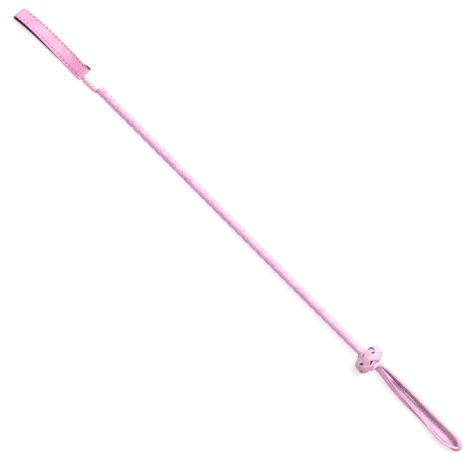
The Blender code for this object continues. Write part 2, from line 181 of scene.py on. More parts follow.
def thread_material(name, colour, deep, roughness=0.62):
    """Waxed thread: fine twisted fibres along each stitch."""
    material, tree, shader = new_material(name)
    place = tree.nodes.new("ShaderNodeTexCoord").outputs["Object"]
    fibres = noise_node(tree, place, 5200.0, 4.0, 0.7)
    slow = noise_node(tree, place, 240.0, 2.0)
    body = mix_node(tree, range_node(tree, slow, 0.35, 0.65, 0.0, 0.6), colour, deep)
    tree.links.new(mix_node(tree, range_node(tree, fibres, 0.3, 0.7, 0.0, 0.5), body, deep),
                   shader.inputs["Base Color"])
    tree.links.new(range_node(tree, fibres, 0.3, 0.7, roughness - 0.1, roughness + 0.15),
                   shader.inputs["Roughness"])
    tree.links.new(bump_node(tree, fibres, 0.04 * MM), shader.inputs["Normal"])
    return material


def paper_material(name, colour, deep):
    """Dull wound paper tape."""
    material, tree, shader = new_material(name)
    place = tree.nodes.new("ShaderNodeTexCoord").outputs["Object"]
    fibres = noise_node(tree, place, 700.0, 6.0, 0.7)
    tree.links.new(mix_node(tree, fibres, colour, deep), shader.inputs["Base Color"])
    tree.links.new(range_node(tree, fibres, 0.3, 0.7, 0.75, 0.95), shader.inputs["Roughness"])
    tree.links.new(bump_node(tree, fibres, 0.1 * MM), shader.inputs["Normal"])
    return material


PINK = colour_of(251, 192, 225)
PINK_DEEP = colour_of(230, 142, 188)
PALE = colour_of(255, 236, 250)
PALE_DEEP = colour_of(248, 208, 232)
MAROON = colour_of(96, 44, 62)
MAROON_DEEP = colour_of(52, 20, 34)

plait_leather = leather("plait_leather", colour_of(252, 200, 230), colour_of(226, 144, 186),
                        0.4, 1500.0, shine=0.9)
tongue_leather = leather("tongue_leather", PINK, PINK_DEEP,
                         0.46, 1700.0, 0.06, 0.6, colour_of(206, 110, 152))
# partly painted shade: the lining is dark maroon, partly the flesh side's own darker colour and partly the
# shade in the deep gap between the leaves
lining_leather = leather("tongue_lining_leather", MAROON, MAROON_DEEP, 0.6, 2600.0, 0.04, 0.6)
knot_leather = leather("knot_leather", colour_of(254, 208, 234), colour_of(230, 152, 192),
                       0.4, 1500.0, shine=0.8)
knot_shade = leather("knot_shade", colour_of(150, 84, 112), colour_of(110, 52, 78), 0.6, 1500.0)
collar_leather = leather("collar_leather", PALE, PALE_DEEP, 0.4, 1500.0)
strap_leather = leather("strap_leather", PINK, PINK_DEEP, 0.42, 1700.0, 0.05, 0.5, colour_of(250, 206, 232))
# painted highlight: the lining is a paler pink than the face leather, for the bright light and gloss on the
# loop's inner face
strap_lining_leather = leather("strap_lining_leather", colour_of(255, 222, 246), colour_of(246, 184, 224),
                               0.4, 2100.0, 0.04, 0.4, colour_of(250, 206, 232))
thong_leather = leather("thong_leather", colour_of(232, 160, 190), colour_of(190, 104, 140), 0.5, 2100.0)
stitch_thread = thread_material("stitch_thread", colour_of(214, 124, 170), colour_of(176, 84, 128))
whip_thread = thread_material("whip_thread", colour_of(255, 228, 226), colour_of(236, 184, 188))
paper_tape = paper_material("paper_tape", colour_of(196, 168, 128), colour_of(150, 120, 84))
fibreglass = paper_material("fibreglass", colour_of(214, 212, 190), colour_of(188, 186, 160))


# ---------------------------------------------------------------- shapes

def smooth_route(points, per_span):
    """Points read from a Catmull-Rom curve through the route; works for vectors of any size."""
    padded = [2 * points[0] - points[1]] + points + [2 * points[-1] - points[-2]]
    result = []
    for index in range(1, len(padded) - 2):
        before, start, end, after = padded[index - 1:index + 3]
        for step in range(per_span):
            t = step / per_span
            result.append(0.5 * (2 * start + (end - before) * t
                                 + (2 * before - 5 * start + 4 * end - after) * t ** 2
                                 + (3 * start - before - 3 * end + after) * t ** 3))
    result.append(points[-1].copy())
    return result


def tangents(points, closed=False):
    count = len(points)
    result = []
    for index in range(count):
        if closed:
            step = points[(index + 1) % count] - points[index - 1]
        else:
            step = points[min(index + 1, count - 1)] - points[max(index - 1, 0)]
        result.append(step.normalized())
    return result


def spread(count):
    """Places across a band from -1 to 1, closer together at its edges."""
    return [math.sin(math.pi * (index / (count - 1) - 0.5)) for index in range(count)]


def rounding(place, corner):
    """1 on the flat of a band, falling to 0 round its edge; corner is the rounded share of the half."""
    into = max(0.0, (abs(place) - 1 + corner) / corner)
    return math.sqrt(max(0.0, 1 - into * into))


def smooth_step(value, low, high):
    t = min(max((value - low) / (high - low), 0.0), 1.0)
    return t * t * (3 - 2 * t)


def skin(name, rings, edges, material, closed=False, tones=None):
    """Closed mesh through equal rings. Edges is each ring point's rim colour, tones each ring's depth."""
    shell = bmesh.new()
    edge_layer = shell.verts.layers.float.new("edge")
    tone_layer = shell.verts.layers.float.new("tone")
    rows = []
    for ring, tone in zip(rings, tones or [0.0] * len(rings)):
        row = []
        for point, edge in zip(ring, edges):
            vertex = shell.verts.new(point)
            vertex[edge_layer] = edge
            vertex[tone_layer] = tone
            row.append(vertex)
        rows.append(row)
    size = len(rows[0])
    for index in range(len(rows) if closed else len(rows) - 1):
        row, following = rows[index], rows[(index + 1) % len(rows)]
        for corner in range(size):
            after = (corner + 1) % size
            shell.faces.new((row[corner], row[after], following[after], following[corner]))
    if not closed:
        shell.faces.new(rows[0][::-1])
        shell.faces.new(rows[-1])
    return finish_mesh(name, shell, material)


EASE_HEIGHT = 1.4 * MM
EASE_LIFT = 1 - 0.64
EASE_RUN = 4.0 * MM
SHARP_ANGLE = math.radians(60)


def rest_on_floor(mesh):
    """Ease the lowest part of the tongue up off the surface, so that none of it sinks in."""
    for vertex in mesh.vertices:
        share = min(1.0, max(0.0, (tongue_pin.x - vertex.co.x) / EASE_RUN))
        under = max(0.0, EASE_HEIGHT - vertex.co.z)
        vertex.co.z += under * EASE_LIFT * share


def finish_mesh(name, shell, material):
    """Turn a bmesh into a smooth named object, its faces outwards."""
    bmesh.ops.recalc_face_normals(shell, faces=shell.faces)
    mesh = bpy.data.meshes.new(name)
    shell.to_mesh(mesh)
    shell.free()
    rest_on_floor(mesh)
    mesh.shade_smooth()
    mesh.set_sharp_from_angle(angle=SHARP_ANGLE)
    mesh.materials.append(material)
    piece = bpy.data.objects.new(name, mesh)
    bpy.context.scene.collection.objects.link(piece)
    return piece


# ---------------------------------------------------------------- plaited shaft

PLAIT_LENGTH = 408.5 * MM
PLAIT_PITCH = 22.2 * MM
TIP_RADIUS = 4.55 * MM
BUTT_RADIUS = 5.0 * MM
PLAIT_RELIEF = 0.5 * MM
STRAND_THICKNESS = 0.9 * MM
STRAND_THINNING = 0.6
STRAND_SOFTNESS = 0.3 * MM
STRAND_HALF_SPAN = math.radians(87)
STRAND_STEPS_A_PITCH = 40
CROSSING_SHARPNESS = 1.6
SLOW_WANDER, SLOW_WAVE = 0.03, 91
QUICK_WANDER, QUICK_WAVE = 0.02, 263
SETTLE_FROM, SETTLE_TO, SETTLE_DEPTH = 360 * MM, 405 * MM, 0.75


def plait_strand(name, hand, first_turn, node):
    """One wide strand: two wind each way, over one and under one, so that together they hide the core."""
    steps = round(PLAIT_LENGTH / PLAIT_PITCH * STRAND_STEPS_A_PITCH)
    across = spread(13)
    rings = []
    for index in range(steps + 1):
        along = PLAIT_LENGTH * index / steps
        winding = 2 * math.pi * along / PLAIT_PITCH
        settle = 1 - SETTLE_DEPTH * smooth_step(along, SETTLE_FROM, SETTLE_TO)
        middle = TIP_RADIUS + (BUTT_RADIUS - TIP_RADIUS) * along / PLAIT_LENGTH - PLAIT_RELIEF
        wander = SLOW_WANDER * math.sin(along * SLOW_WAVE + first_turn * 2 + hand)
        wander += QUICK_WANDER * math.sin(along * QUICK_WAVE + hand)
        outer = []
        inner = []
        for place in across:
            turn = hand * winding + first_turn + wander + place * STRAND_HALF_SPAN
            over = -hand * math.cos(2 * winding + hand * place * STRAND_HALF_SPAN)
            over = math.tanh(CROSSING_SHARPNESS * over) / math.tanh(CROSSING_SHARPNESS)
            top = middle + PLAIT_RELIEF * settle * over
            lens = STRAND_SOFTNESS * settle * abs(place) ** 3
            thick = STRAND_THICKNESS * (1 - STRAND_THINNING * abs(place) ** 2)
            outer.append(shaft_point(along, turn, top - lens))
            inner.append(shaft_point(along, turn, top - lens - thick))
        rings.append(outer + inner[::-1])
    piece = skin(name, rings, [0.0] * (2 * len(across)), plait_leather)
    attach(piece, "crop")
    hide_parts(node)


plait_strand("plait_lace_1", 1, 0.0, "plait_strand_1")
plait_strand("plait_lace_2", 1, math.pi, "plait_strand_2")
plait_strand("plait_lace_3", -1, 0.0, "plait_strand_3")
plait_strand("plait_lace_4", -1, math.pi, "plait_strand_4")


# ---------------------------------------------------------------- knot and collar

KNOT_CENTRE = 413.1 * MM
KNOT_INNER = 7.5 * MM
KNOT_HALF_LENGTH = 7.5 * MM
KNOT_RISE = 7.9 * MM
KNOT_LEADS = 3
KNOT_BIGHTS = 5
KNOT_WIDTH = 8.0 * MM
KNOT_THICKNESS = 1.7 * MM
KNOT_WEAVE = 1.15 * MM
KNOT_SWING = math.radians(60)
KNOT_FIRST_TURN = math.radians(18)
KNOT_STEPS_A_BIGHT = 64
KNOT_CROWN, KNOT_DROOP = 0.12 * MM, 0.35 * MM


def knot_point(turn, swing, lift):
    """A point on the knot: turn about the shaft, swing across it, lift off its former."""
    along = KNOT_CENTRE + (KNOT_HALF_LENGTH + lift) * math.sin(swing)
    return shaft_point(along, turn, KNOT_INNER + (KNOT_RISE + lift) * math.cos(swing))


def woven_knot():
    """Turk's head: one endless strip, three leads and five bights, over and under in turn."""
    steps = KNOT_BIGHTS * KNOT_STEPS_A_BIGHT
    points = []
    lifted = []
    for index in range(steps):
        turn = 2 * math.pi * KNOT_LEADS * index / steps + KNOT_FIRST_TURN
        wave = 2 * math.pi * KNOT_BIGHTS * index / steps
        swing = KNOT_SWING * math.sin(wave)
        lift = KNOT_WEAVE * math.sin(2 * wave)
        points.append(knot_point(turn, swing, lift))
        lifted.append(knot_point(turn, swing, lift + MM))
    rings = []
    places = spread(11)
    for point, above, forward in zip(points, lifted, tangents(points, closed=True)):
        across = (above - point).cross(forward).normalized()
        up = forward.cross(across).normalized()
        outer = []
        inner = []
        for place in places:
            round_off = rounding(place, 0.3)
            crown = KNOT_CROWN * (1 - place * place) - KNOT_DROOP * place * place
            base = point + across * (place * KNOT_WIDTH / 2) + up * crown
            outer.append(base + up * (KNOT_THICKNESS / 2 * round_off))
            inner.append(base - up * (KNOT_THICKNESS / 2 * round_off))
        rings.append(outer + inner[-2:0:-1])
    piece = skin("turks_head_knot", rings, [0.0] * len(rings[0]), knot_leather, closed=True)
    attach(piece, "crop")
    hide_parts("turks_head_strand")


COLLAR_START, COLLAR_END = 412.0 * MM, 424.2 * MM
COLLAR_RADIUS, COLLAR_BORE, COLLAR_RIM = 7.5 * MM, 6.3 * MM, 0.55 * MM


def soft_collar():
    """Leather ring with rounded rims and a hollow mouth."""
    start, end = COLLAR_START, COLLAR_END
    radius, bore, soft = COLLAR_RADIUS, COLLAR_BORE, COLLAR_RIM
    outline = [(start, bore), (start, radius - soft)]
    for step in range(5):
        angle = math.pi / 2 * step / 4
        outline.append((start + soft - soft * math.cos(angle), radius - soft + soft * math.sin(angle)))
    for step in range(5):
        angle = math.pi / 2 * step / 4
        outline.append((end - soft + soft * math.sin(angle), radius - soft + soft * math.cos(angle)))
    outline += [(end - 0.2 * MM, bore + 0.2 * MM), (end - 0.5 * MM, bore)]
    sides = 56
    rings = [[shaft_point(along, 2 * math.pi * k / sides, r) for along, r in outline]
             for k in range(sides)]
    piece = skin("collar_ring", rings, [0.0] * len(outline), collar_leather, closed=True)
    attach(piece, "crop")
    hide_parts("butt_collar")


woven_knot()
soft_collar()


# ---------------------------------------------------------------- thong and whipping

WHIP_STRANDS = 3
WHIP_LEAD = 12.0 * MM
WHIP_THREAD = 1.35 * MM
WHIP_REACH = 1.7 * MM
WHIP_FLATTENING = 1.12
WHIP_END_SHARE = 0.55
THONG_RISE = 3.1 * MM
THONG_RADIUS = 1.8
THONG_SPREAD, THONG_FLATTENING = 1.0, 1.25
# Each knot of the thong's route, in mm: along from the plait's mouth, then sideways and up from where it
# lies on the surface.
THONG_KNOTS = [
    (9.0, 3.8, 1.9), (4.4, 3.4, 1.8), (1.8, 2.2, 1.4), (-0.5, 1.0, 0.8), (-3.0, 0.2, 0.3),
    (-8.0, 0.0, 0.05), (-14.0, 0.0, 0.0), (-20.6, 0.0, -0.1), (-26.0, 0.0, -0.2), (-34.0, 0.0, -0.2),
]


def bend_at_tongue(piece):
    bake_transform(piece)


def thong_route():
    """From the hollow mouth of the plait down to the floor, then straight on into the tongue."""
    middle = whip_low.y + THONG_RISE
    rise = whip_low.z + THONG_RISE
    return [Vector((shaft_mouth.x + x * MM, middle + y * MM, rise + z * MM)) for x, y, z in THONG_KNOTS]


def thong():
    """Leather thong, round in the whipping and flattened where it is sewn between the leaves."""
    route = smooth_route(thong_route(), 6)
    rings = []
    sides = 14
    for point, forward in zip(route, tangents(route)):
        flat = smooth_step(tongue_pin.x - point.x, 0.0, 5 * MM)
        wide = (THONG_RADIUS + THONG_SPREAD * flat) * MM
        high = (THONG_RADIUS - THONG_FLATTENING * flat) * MM
        side = UPWARDS.cross(forward).normalized()
        up = forward.cross(side)
        rings.append([point + side * (wide * math.cos(2 * math.pi * k / sides))
                      + up * (high * math.sin(2 * math.pi * k / sides)) for k in range(sides)])
    piece = skin("tip_thong_leather", rings, [0.0] * sides, thong_leather)
    bend_at_tongue(piece)
    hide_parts("tip_thong", "tongue_tail")


def whipping():
    """Thick waxed thread: three strands wound round the thong at a slant."""
    route = smooth_route(thong_route(), 40)
    route = [point for point in route if whip_low.x < point.x < shaft_mouth.x - 0.3 * MM]
    directions = tangents(route)
    travelled = [0.0]
    for before, point in zip(route, route[1:]):
        travelled.append(travelled[-1] + (point - before).length)
    sides = 12
    shell = bmesh.new()
    for strand in range(WHIP_STRANDS):
        rows = []
        for index, (point, forward, along) in enumerate(zip(route, directions, travelled)):
            side = UPWARDS.cross(forward).normalized()
            up = forward.cross(side)
            angle = 2 * math.pi * (strand / WHIP_STRANDS - along / WHIP_LEAD)
            around = side * math.cos(angle) + up * math.sin(angle)
            beside = forward.cross(around)
            fat = WHIP_THREAD * (WHIP_END_SHARE if index in (0, len(route) - 1) else 1.0)
            row = []
            for k in range(sides):
                out = WHIP_REACH + fat * math.cos(2 * math.pi * k / sides)
                aside = fat * WHIP_FLATTENING * math.sin(2 * math.pi * k / sides)
                row.append(shell.verts.new(point + around * out + beside * aside))
            rows.append(row)
        for row, following in zip(rows, rows[1:]):
            for k in range(sides):
                after = (k + 1) % sides
                shell.faces.new((row[k], row[after], following[after], following[k]))
        shell.faces.new(rows[0][::-1])
        shell.faces.new(rows[-1])
    piece = finish_mesh("whipping_thread_turns", shell, whip_thread)
    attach(piece, "crop")
    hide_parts("tip_whipping")


thong()
whipping()


# ---------------------------------------------------------------- stitches, made with Geometry Nodes

STITCH_UNEVENNESS = 0.06
STITCH_SEED = 7
TONGUE_PITCH, CROSS_PITCH, STRAP_PITCH = 4.5 * MM, 3.0 * MM, 3.6 * MM


def stitch_shape(length, radius):
    """One stitch: a short bowed thread whose ends dip into the leather."""
    rings = []
    for index in range(7):
        t = index / 6 * 2 - 1
        swell = math.sqrt(max(0.08, 1 - t * t * 0.9))
        middle = Vector((t * length / 2, 0.0, radius * (0.55 - 1.5 * t * t)))
        rings.append([middle + Vector((0.0, math.cos(k * math.pi / 3), math.sin(k * math.pi / 3)))
                      * (radius * swell) for k in range(6)])
    shape = skin("stitch_shape", rings, [0.0] * 6, stitch_thread)
    bpy.context.scene.collection.objects.unlink(shape)
    return shape


def stitch_group():
    """Node group: a stitch at every pitch along each line, lying along it and standing off the leather."""
    group = bpy.data.node_groups.new("sewn_row", "GeometryNodeTree")
    face = group.interface
    face.new_socket("Geometry", in_out="INPUT", socket_type="NodeSocketGeometry")
    face.new_socket("Stitch", in_out="INPUT", socket_type="NodeSocketObject")
    face.new_socket("Pitch", in_out="INPUT", socket_type="NodeSocketFloat")
    face.new_socket("Unevenness", in_out="INPUT", socket_type="NodeSocketFloat")
    face.new_socket("Thread", in_out="INPUT", socket_type="NodeSocketMaterial")
    face.new_socket("Geometry", in_out="OUTPUT", socket_type="NodeSocketGeometry")
    nodes, links = group.nodes, group.links
    start = nodes.new("NodeGroupInput")
    lines = nodes.new("GeometryNodeMeshToCurve")
    links.new(start.outputs["Geometry"], lines.inputs["Mesh"])
    spaced = nodes.new("GeometryNodeResampleCurve")
    spaced.mode = "LENGTH"
    links.new(lines.outputs["Curve"], spaced.inputs["Curve"])
    links.new(start.outputs["Pitch"], spaced.inputs["Length"])
    tangent = nodes.new("GeometryNodeInputTangent")
    along = nodes.new("FunctionNodeAlignRotationToVector")
    along.axis = "X"
    links.new(tangent.outputs["Tangent"], along.inputs["Vector"])
    off = nodes.new("GeometryNodeInputNamedAttribute")
    off.data_type = "FLOAT_VECTOR"
    off.inputs["Name"].default_value = "off_leather"
    upright = nodes.new("FunctionNodeAlignRotationToVector")
    upright.axis = "Z"
    upright.pivot_axis = "X"
    links.new(along.outputs["Rotation"], upright.inputs["Rotation"])
    links.new(off.outputs["Attribute"], upright.inputs["Vector"])
    shape = nodes.new("GeometryNodeObjectInfo")
    links.new(start.outputs["Stitch"], shape.inputs["Object"])
    less = nodes.new("ShaderNodeMath")
    less.operation = "SUBTRACT"
    less.inputs[0].default_value = 1.0
    links.new(start.outputs["Unevenness"], less.inputs[1])
    more = nodes.new("ShaderNodeMath")
    more.operation = "ADD"
    more.inputs[0].default_value = 1.0
    links.new(start.outputs["Unevenness"], more.inputs[1])
    size = nodes.new("FunctionNodeRandomValue")
    size.data_type = "FLOAT"
    size.inputs["Seed"].default_value = STITCH_SEED
    links.new(less.outputs["Value"], size.inputs[2])
    links.new(more.outputs["Value"], size.inputs[3])
    sewn = nodes.new("GeometryNodeInstanceOnPoints")
    links.new(spaced.outputs["Curve"], sewn.inputs["Points"])
    links.new(shape.outputs["Geometry"], sewn.inputs["Instance"])
    links.new(upright.outputs["Rotation"], sewn.inputs["Rotation"])
    links.new(size.outputs[1], sewn.inputs["Scale"])
    real = nodes.new("GeometryNodeRealizeInstances")
    links.new(sewn.outputs["Instances"], real.inputs["Geometry"])
    painted = nodes.new("GeometryNodeSetMaterial")
    links.new(real.outputs["Geometry"], painted.inputs["Geometry"])
    links.new(start.outputs["Thread"], painted.inputs["Material"])
    end = nodes.new("NodeGroupOutput")
    links.new(painted.outputs["Geometry"], end.inputs["Geometry"])
    return group


def sewn_rows(name, rows, pitch, shape):
    """Stitches along rows of (point, direction off the leather), as one plain mesh."""
    mesh = bpy.data.meshes.new(name + "_lines")
    points = [point for row in rows for point, _ in row]
    edges = []
    start = 0
    for row in rows:
        edges += [(start + k, start + k + 1) for k in range(len(row) - 1)]
        start += len(row)
    mesh.from_pydata(points, edges, [])
    off = mesh.attributes.new("off_leather", "FLOAT_VECTOR", "POINT")
    for item, direction in zip(off.data, (direction for row in rows for _, direction in row)):
        item.vector = direction
    lines = bpy.data.objects.new(name + "_lines", mesh)
    bpy.context.scene.collection.objects.link(lines)
    modifier = lines.modifiers.new("sewing", "NODES")
    modifier.node_group = sewing
    sockets = {item.name: item.identifier for item in sewing.interface.items_tree
               if item.in_out == "INPUT"}
    modifier[sockets["Stitch"]] = shape
    modifier[sockets["Pitch"]] = pitch
    modifier[sockets["Unevenness"]] = STITCH_UNEVENNESS
    modifier[sockets["Thread"]] = stitch_thread
    bpy.context.view_layer.update()
    evaluated = lines.evaluated_get(bpy.context.evaluated_depsgraph_get())
    made = bpy.data.meshes.new_from_object(evaluated)
    made.name = name
    rest_on_floor(made)
    piece = bpy.data.objects.new(name, made)
    bpy.context.scene.collection.objects.link(piece)
    bpy.data.objects.remove(lines)
    return piece


sewing = stitch_group()
tongue_stitch = stitch_shape(3.2 * MM, 0.52 * MM)
strap_stitch = stitch_shape(2.6 * MM, 0.36 * MM)
cross_stitch = stitch_shape(2.2 * MM, 0.42 * MM)

# ---------------------------------------------------------------- tongue

TONGUE_WIDTH = 16.4 * MM
FACE_PLY = 1.0 * MM
LINING_PLY = 0.75 * MM
STACK = FACE_PLY + LINING_PLY
GAP_NEAR = 1.3 * MM
GAP_FAR = 2.8 * MM
NEAR_X = tongue_pin.x - 1.4 * MM
FAR_X = face_low.x
ROLL_START_X = tongue_pin.x - 26.0 * MM
ROLL = math.radians(33)
INSET_LOW = 1.8 * MM
INSET_HIGH = 3.0 * MM
GROOVE_SPREAD = 0.55 * MM
TONGUE_GROOVE = 0.25 * MM
STITCH_SINK = 0.12 * MM
SIDE_ROW_LENGTH = 83 * MM
EDGE_SIDEWAYS, EDGE_FALL, EDGE_NEAR_FALL = 8.1, 6.4, 1.2
LOWER_LEAF_SHIFT = 2.3 * MM
NEAR_NARROWING = 0.9 * MM
NEAR_SHADE = 0.6
CROSS_X = (NEAR_X - 4.2 * MM, NEAR_X - 7.6 * MM)


def far_share(x):
    return min(max((ROLL_START_X - x) / (ROLL_START_X - FAR_X), 0.0), 1.0)


def near_share(x):
    return smooth_step(x, NEAR_X - 24 * MM, NEAR_X)


def tongue_frame(x, across, height, leaf):
    """A point of the folded tongue: across runs 0 to 1 from its +Y edge, leaf is 1 above and -1 below."""
    share = far_share(x)
    roll = ROLL * math.sin(math.pi / 2 * share)
    width = TONGUE_WIDTH - NEAR_NARROWING * near_share(x)
    edge = (EDGE_SIDEWAYS - EDGE_FALL * share ** 1.6 - EDGE_NEAR_FALL * near_share(x)) * MM
    if leaf < 0:
        edge += LOWER_LEAF_SHIFT * smooth_step(x, NEAR_X - 12 * MM, NEAR_X - 2 * MM)
    y = -across * width
    return Vector((x, edge + y * math.cos(roll) + height * math.sin(roll),
                   -y * math.sin(roll) + height * math.cos(roll)))


def fold_path():
    """Stations along the folded strip: (x, leaf, angle of its outward normal above the horizontal)."""
    half_gap = GAP_FAR / 2
    fold_x = FAR_X + STACK + half_gap
    top = [(NEAR_X + (fold_x - NEAR_X) * index / 70, 1.0, math.pi / 2) for index in range(70)]
    fold = [(fold_x, 1 - 2 * index / 16, math.pi / 2 + math.pi * index / 16) for index in range(17)]
    back = [(x, -1.0, -math.pi / 2) for x, _, _ in reversed(top)]
    return top + fold + back


def tongue_station(x, angle, leaf, out, across):
    """Where the strip lies: out is the distance from the middle of the gap's surface, along its normal."""
    half_gap = (GAP_NEAR + (GAP_FAR - GAP_NEAR) * far_share(x)) / 2
    reach = half_gap + out
    middle = STACK + half_gap
    return tongue_frame(x + reach * math.cos(angle), across, middle + reach * math.sin(angle),
                        1 if leaf >= 0 else -1)


def groove_at(place, inset, half_width, depth):
    """Dip of the leather under a sewn row: place is 1 at the edge that inset is measured from."""
    away = (1 - place) * half_width - inset
    return depth * math.exp(-(away / GROOVE_SPREAD) ** 2)


def tongue_band(name, low, high, material, node, corner):
    """One ply of the folded strip, between two offsets from the gap's surface."""
    places = spread(23)
    middle, half = (low + high) / 2, (high - low) / 2
    groove = TONGUE_GROOVE if high > LINING_PLY else 0.0
    path = fold_path()
    rings = []
    for index, (x, leaf, angle) in enumerate(path):
        from_end = min(index, len(path) - 1 - index)
        end_round = (0.35, 0.75)[from_end] if from_end < 2 else 1.0
        if from_end == 1:
            x = NEAR_X - 0.25 * MM
        outer = []
        inner = []
        for place in places:
            across = (place + 1) / 2
            thick = half * rounding(place, corner) * end_round
            dip = groove_at(-place, INSET_LOW, TONGUE_WIDTH / 2, groove)
            dip += groove_at(place, INSET_HIGH, TONGUE_WIDTH / 2, groove)
            outer.append(tongue_station(x, angle, leaf, middle + thick - dip, across))
            inner.append(tongue_station(x, angle, leaf, middle - thick, across))
        rings.append(outer + inner[-2:0:-1])
    edge = [abs(place) ** 24 for place in places]
    # painted shade: the tongue deepens towards its near end, as if that part turned away from the light,
    # easing off right at the end
    tones = []
    for x, _, _ in path:
        deepened = smooth_step(x, NEAR_X - 28 * MM, NEAR_X - 14 * MM)
        relieved = 0.7 * smooth_step(x, NEAR_X - 6 * MM, NEAR_X)
        tones.append(NEAR_SHADE * deepened * (1 - relieved))
    piece = skin(name, rings, edge + edge[-2:0:-1], material, tones=tones)
    bend_at_tongue(piece)
    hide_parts(node)


def tongue_top(x, across):
    point = tongue_station(x, math.pi / 2, 1, STACK - STITCH_SINK, across)
    above = tongue_station(x, math.pi / 2, 1, STACK + MM, across)
    return point, (above - point).normalized()


def tongue_underside(x, across):
    point = tongue_station(x, -math.pi / 2, -1, STACK - STITCH_SINK, across)
    below = tongue_station(x, -math.pi / 2, -1, STACK + MM, across)
    return point, (below - point).normalized()


def tongue_stitches():
    inset = INSET_LOW / TONGUE_WIDTH
    far_inset = 1 - INSET_HIGH / TONGUE_WIDTH
    long_rows = []
    for surface in (tongue_top, tongue_underside):
        for across in (inset, far_inset):
            long_rows.append([surface(CROSS_X[1] - 1.5 * MM - SIDE_ROW_LENGTH * k / 60, across)
                              for k in range(61)])
    piece = sewn_rows("tongue_side_stitches", long_rows, TONGUE_PITCH, tongue_stitch)
    bend_at_tongue(piece)
    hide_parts("tongue_thread_left", "tongue_thread_right")
    cross_rows = []
    for surface in (tongue_top, tongue_underside):
        for x in CROSS_X:
            cross_rows.append([surface(x, inset + (far_inset - inset) * k / 20) for k in range(21)])
        for across in (inset, far_inset):
            cross_rows.append([surface(CROSS_X[0] + (CROSS_X[1] - CROSS_X[0]) * k / 6, across)
                               for k in range(7)])
    piece = sewn_rows("tongue_cross_stitches", cross_rows, CROSS_PITCH, cross_stitch)
    bend_at_tongue(piece)
    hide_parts("tongue_cross_thread")


tongue_band("tongue_face_leather", LINING_PLY - 0.02 * MM, STACK, tongue_leather, "tongue_face",
            0.06)
tongue_band("tongue_lining_leather", 0.0, LINING_PLY, lining_leather, "tongue_lining",
            0.04)
tongue_stitches()

# ---------------------------------------------------------------- wrist loop

STRAP_WIDTH = 15.0 * MM
STRAP_PLY = 1.5 * MM
STRAP_RIM = 0.4
STRAP_INSET = 2.0 * MM
STRAP_GROOVE = 0.4 * MM
STRAP_STITCH_SINK = 0.3 * MM
STRAP_SECTION_STEPS = 48
STRAP_STEPS_A_STATION = 8
BOW_FROM, BOW_TO = -0.25, 0.65
# Each station: distance in mm from the loop's pivot along and sideways, height of the strap's lowest
# point off the floor, outward lean of its lower and upper part in degrees, then width and thickness shares.
STRAP_STATIONS = [
    (-9.0, -1.0, 12.4, -10, -40, 0.72, 0.6), (-4.0, -1.2, 12.0, -14, -52, 0.80, 0.6),
    (-1.0, -1.6, 11.4, -10, -60, 0.88, 0.65), (2.6, -2.2, 10.8, 0, -68, 0.94, 0.7),
    (9.0, -3.1, 10.0, 24, -66, 1.0, 0.8), (19.0, -4.1, 8.8, 50, -66, 1.0, 0.9),
    (30.0, -4.8, 7.6, 74, -62, 1.0, 1.0), (42.0, -5.1, 6.4, 84, -54, 1.0, 1.0),
    (55.0, -5.0, 5.2, 84, -42, 1.0, 1.0), (69.0, -4.6, 4.0, 84, -26, 1.0, 1.0),
    (83.0, -4.6, 2.9, 82, -4, 1.0, 1.0), (96.0, -4.4, 1.8, 76, 16, 1.0, 1.0),
    (106.0, -4.3, 1.0, 60, 18, 1.0, 1.0), (114.6, -4.3, 0.5, 36, -14, 1.0, 1.0),
    (121.0, -3.2, 0.2, 34, -42, 1.0, 1.0), (124.0, 0.6, 0.1, 32, -56, 1.0, 1.0),
    (121.4, 4.5, 0.2, 36, -46, 1.0, 1.0), (115.2, 6.4, 0.5, 42, -26, 1.0, 1.0),
    (107.0, 6.8, 1.3, 42, -14, 1.0, 1.0), (96.0, 6.8, 2.2, 32, -10, 1.0, 1.0),
    (83.0, 6.9, 3.4, 30, -12, 1.0, 1.0), (69.0, 7.0, 4.7, 30, -12, 1.0, 1.0),
    (55.0, 7.2, 5.9, 30, -12, 1.0, 1.0), (42.0, 7.2, 7.0, 30, -12, 1.0, 1.0),
    (30.0, 7.0, 8.1, 30, -12, 1.0, 1.0), (19.0, 6.7, 9.1, 28, -10, 1.0, 0.98),
    (9.0, 6.3, 10.0, 22, -8, 0.98, 0.84), (2.6, 5.6, 10.4, 14, -8, 0.92, 0.74),
    (-1.0, 5.2, 10.9, 8, -8, 0.86, 0.66), (-4.0, 4.7, 11.4, 2, -6, 0.80, 0.58),
    (-9.0, 3.9, 11.9, 0, -4, 0.72, 0.52),
]


def bend_at_loop(piece):
    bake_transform(piece)


def section_curve(low_lean, high_lean, half_width):
    """The strap's bowed cross section as (outward, upward, lean) at even steps from its lower edge."""
    steps = STRAP_SECTION_STEPS
    curve = [(0.0, 0.0, low_lean)]
    for index in range(steps):
        place = (index + 0.5) / steps * 2 - 1
        lean = low_lean + (high_lean - low_lean) * smooth_step(place, BOW_FROM, BOW_TO)
        stride = 2 * half_width / steps
        outward, upward, _ = curve[-1]
        curve.append((outward + stride * math.sin(lean), upward + stride * math.cos(lean), lean))
    middle = curve[steps // 2][0]
    lowest = min(upward for _, upward, _ in curve)
    return [(outward - middle, upward - lowest, lean) for outward, upward, lean in curve]


